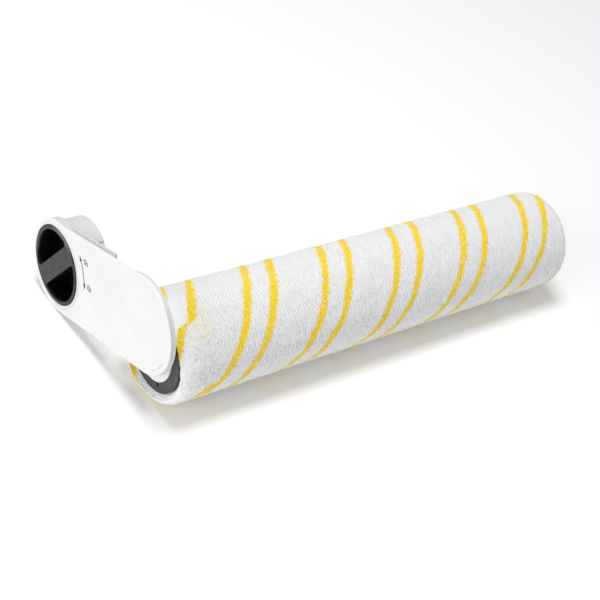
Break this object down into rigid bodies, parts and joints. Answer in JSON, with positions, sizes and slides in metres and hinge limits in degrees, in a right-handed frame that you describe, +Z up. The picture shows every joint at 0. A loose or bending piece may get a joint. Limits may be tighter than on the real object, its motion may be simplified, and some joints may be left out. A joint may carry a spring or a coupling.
{
  "type": "paint roller head",
  "caption": "One-sided paint roller head: plush sleeve spinning on a fixed axle, flat arm, and a quarter-turn lock knob over a round handle coupling.",
  "frame": {"origin": "middle of the footprint, on the surface that the head lies on", "axes": "+X along the roller's axis from the arm to the free end, +Y from the roller towards the arm's lock end, +Z up"},
  "size_m": [0.2554, 0.1194, 0.0696],
  "materials": {
    "white_shell": "satin white moulding",
    "grey_shell": "satin light grey moulding",
    "black_knob": "fine satin black moulding",
    "mark_ink": "printed ink",
    "steel": "bright zinc-plated steel",
    "dark_casting": "dark grey paint",
    "seal_rubber": "black rubber",
    "nap_plush": "white microfibre plush with paired yellow stripes",
    "core_plastic": "plain tube",
    "dark_plug": "dark grey moulding",
    "bush_plastic": "natural acetal"
  },
  "bodies": {
    "arm": {"arm_cover": "white_shell", "arm_frame": "grey_shell", "arm_spine": "steel", "lock_housing": "grey_shell", "housing_screws": "steel", "lock_arrow": "mark_ink", "open_lock_mark": "mark_ink", "closed_lock_mark": "mark_ink", "detent_ball": "steel", "detent_spring": "steel", "spindle_seal": "seal_rubber", "axle_bracket": "dark_casting", "bracket_screws": "steel", "axle": "steel", "near_thrust_washer": "steel", "far_thrust_washer": "steel", "axle_clip": "steel"},
    "knob": {"lock_knob": "black_knob", "knob_washer": "steel", "lock_spindle": "steel", "lock_cam": "steel", "cam_washer": "steel", "cam_screw": "steel"},
    "roller": {"nap_cover": "nap_plush", "core_tube": "core_plastic", "near_end_plug": "dark_plug", "far_end_plug": "dark_plug", "near_bush": "bush_plastic", "far_bush": "bush_plastic", "dust_ring": "bush_plastic"}
  },
  "joints": [
    {"name": "roller_spin", "type": "hinge", "parent": "arm", "child": "roller", "pos_m": [0, -0.03336, 0.0263], "axis": [1, 0, 0], "continuous": true},
    {"name": "knob_turn", "type": "hinge", "parent": "arm", "child": "knob", "pos_m": [-0.1223, 0.03711, 0.02395], "axis": [1, 0, 0], "range_deg": [0, 35]}
  ]
}
